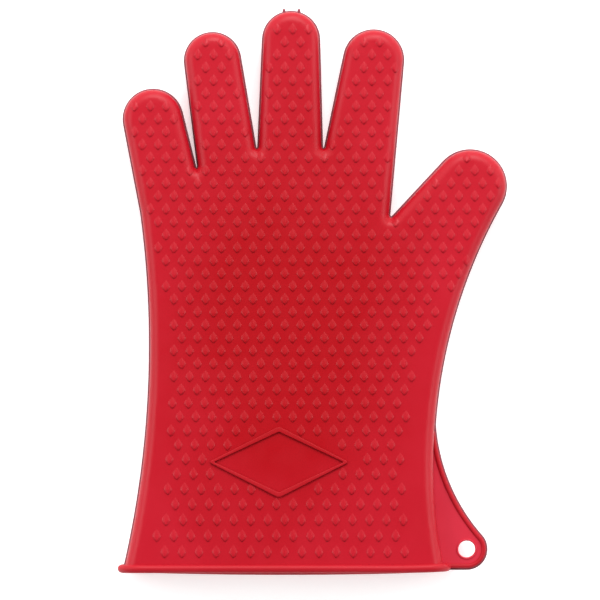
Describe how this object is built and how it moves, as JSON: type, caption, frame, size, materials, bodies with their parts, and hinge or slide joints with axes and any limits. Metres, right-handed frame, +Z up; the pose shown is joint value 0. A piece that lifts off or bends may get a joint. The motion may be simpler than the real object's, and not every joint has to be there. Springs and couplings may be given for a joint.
{
  "type": "heat resistant glove",
  "caption": "Five-fingered moulded silicone grill glove with a nubbed grip, rolled cuff, hang tab and fingers that bend at soft folds.",
  "frame": {"origin": "on the resting surface, under the middle of the glove's length and width", "axes": "+X across the hand towards the thumb, +Y towards the fingertips, +Z up out of the gripping side"},
  "size_m": [0.185, 0.27, 0.0276],
  "materials": {
    "skin_silicone": "satin red silicone with moulded nubs",
    "fold_silicone": "satin red silicone that bends",
    "trim_silicone": "smooth satin red silicone rib",
    "tab_silicone": "smooth thin red silicone web"
  },
  "bodies": {
    "palm": {"palm_front": "skin_silicone", "palm_back": "skin_silicone", "wrist_fold": "fold_silicone", "knuckle_fold": "fold_silicone", "thumb_root_fold": "fold_silicone"},
    "cuff": {"cuff_front": "skin_silicone", "cuff_back": "skin_silicone", "cuff_bead_front": "trim_silicone", "cuff_bead_back": "trim_silicone", "diamond_rib": "trim_silicone", "hang_tab_web": "tab_silicone", "hang_tab_rim": "trim_silicone"},
    "knuckles": {"knuckles_front": "skin_silicone", "knuckles_back": "skin_silicone", "index_root_fold": "fold_silicone", "middle_root_fold": "fold_silicone", "ring_root_fold": "fold_silicone", "little_root_fold": "fold_silicone"},
    "thumb_lower": {"thumb_lower_front": "skin_silicone", "thumb_lower_back": "skin_silicone", "thumb_mid_fold": "fold_silicone"},
    "thumb_tip": {"thumb_tip_front": "skin_silicone", "thumb_tip_back": "skin_silicone"},
    "index_lower": {"index_lower_front": "skin_silicone", "index_lower_back": "skin_silicone", "index_mid_fold": "fold_silicone"},
    "index_tip": {"index_tip_front": "skin_silicone", "index_tip_back": "skin_silicone"},
    "middle_lower": {"middle_lower_front": "skin_silicone", "middle_lower_back": "skin_silicone", "middle_mid_fold": "fold_silicone"},
    "middle_tip": {"middle_tip_front": "skin_silicone", "middle_tip_back": "skin_silicone", "vent_nib_left": "trim_silicone", "vent_nib_right": "trim_silicone"},
    "ring_lower": {"ring_lower_front": "skin_silicone", "ring_lower_back": "skin_silicone", "ring_mid_fold": "fold_silicone"},
    "ring_tip": {"ring_tip_front": "skin_silicone", "ring_tip_back": "skin_silicone"},
    "little_lower": {"little_lower_front": "skin_silicone", "little_lower_back": "skin_silicone", "little_mid_fold": "fold_silicone"},
    "little_tip": {"little_tip_front": "skin_silicone", "little_tip_back": "skin_silicone"}
  },
  "joints": [
    {"name": "wrist_bend", "type": "hinge", "parent": "palm", "child": "cuff", "pos_m": [0, -0.052, 0.0117], "axis": [-1, 0, 0], "range_deg": [-20, 35], "stiffness_Nm_per_rad": 0.3, "deforming": ["wrist_fold"]},
    {"name": "knuckle_bend", "type": "hinge", "parent": "palm", "child": "knuckles", "pos_m": [-0.0223, 0.0355, 0.01438], "axis": [0.9848, 0.1736, 0], "range_deg": [0, 60], "stiffness_Nm_per_rad": 0.25, "deforming": ["knuckle_fold"]},
    {"name": "thumb_root_bend", "type": "hinge", "parent": "palm", "child": "thumb_lower", "pos_m": [0.05512, 0.01795, 0.01498], "axis": [0.5807, -0.8141, 0], "range_deg": [0, 45], "stiffness_Nm_per_rad": 0.1, "deforming": ["thumb_root_fold"]},
    {"name": "thumb_mid_bend", "type": "hinge", "parent": "thumb_lower", "child": "thumb_tip", "pos_m": [0.07001, 0.04304, 0.01412], "axis": [0.8396, -0.5432, 0], "range_deg": [0, 50], "stiffness_Nm_per_rad": 0.05, "deforming": ["thumb_mid_fold"]},
    {"name": "index_root_bend", "type": "hinge", "parent": "knuckles", "child": "index_lower", "pos_m": [0.02387, 0.07609, 0.013], "axis": [0.989, -0.1478, 0], "range_deg": [0, 70], "stiffness_Nm_per_rad": 0.04, "deforming": ["index_root_fold"]},
    {"name": "index_mid_bend", "type": "hinge", "parent": "index_lower", "child": "index_tip", "pos_m": [0.02683, 0.09587, 0.01233], "axis": [0.989, -0.1478, 0], "range_deg": [0, 49], "stiffness_Nm_per_rad": 0.03, "deforming": ["index_mid_fold"]},
    {"name": "middle_root_bend", "type": "hinge", "parent": "knuckles", "child": "middle_lower", "pos_m": [-0.01061, 0.0787, 0.01291], "axis": [1, -0.0087, 0], "range_deg": [0, 70], "stiffness_Nm_per_rad": 0.04, "deforming": ["middle_root_fold"]},
    {"name": "middle_mid_bend", "type": "hinge", "parent": "middle_lower", "child": "middle_tip", "pos_m": [-0.01042, 0.1007, 0.01216], "axis": [1, -0.0087, 0], "range_deg": [0, 49], "stiffness_Nm_per_rad": 0.03, "deforming": ["middle_mid_fold"]},
    {"name": "ring_root_bend", "type": "hinge", "parent": "knuckles", "child": "ring_lower", "pos_m": [-0.04221, 0.07372, 0.01308], "axis": [0.9893, 0.1461, 0], "range_deg": [0, 70], "stiffness_Nm_per_rad": 0.04, "deforming": ["ring_root_fold"]},
    {"name": "ring_mid_bend", "type": "hinge", "parent": "ring_lower", "child": "ring_tip", "pos_m": [-0.04499, 0.09252, 0.01244], "axis": [0.9893, 0.1461, 0], "range_deg": [0, 49], "stiffness_Nm_per_rad": 0.03, "deforming": ["ring_mid_fold"]},
    {"name": "little_root_bend", "type": "hinge", "parent": "knuckles", "child": "little_lower", "pos_m": [-0.07084, 0.05957, 0.01356], "axis": [0.9763, 0.2164, 0], "range_deg": [0, 70], "stiffness_Nm_per_rad": 0.04, "deforming": ["little_root_fold"]},
    {"name": "little_mid_bend", "type": "hinge", "parent": "little_lower", "child": "little_tip", "pos_m": [-0.0743, 0.07519, 0.01303], "axis": [0.9763, 0.2164, 0], "range_deg": [0, 49], "stiffness_Nm_per_rad": 0.03, "deforming": ["little_mid_fold"]}
  ],
  "couplings": [
    {"joint": "index_mid_bend", "follows": "index_root_bend", "ratio": 0.7},
    {"joint": "middle_mid_bend", "follows": "middle_root_bend", "ratio": 0.7},
    {"joint": "ring_mid_bend", "follows": "ring_root_bend", "ratio": 0.7},
    {"joint": "little_mid_bend", "follows": "little_root_bend", "ratio": 0.7}
  ]
}
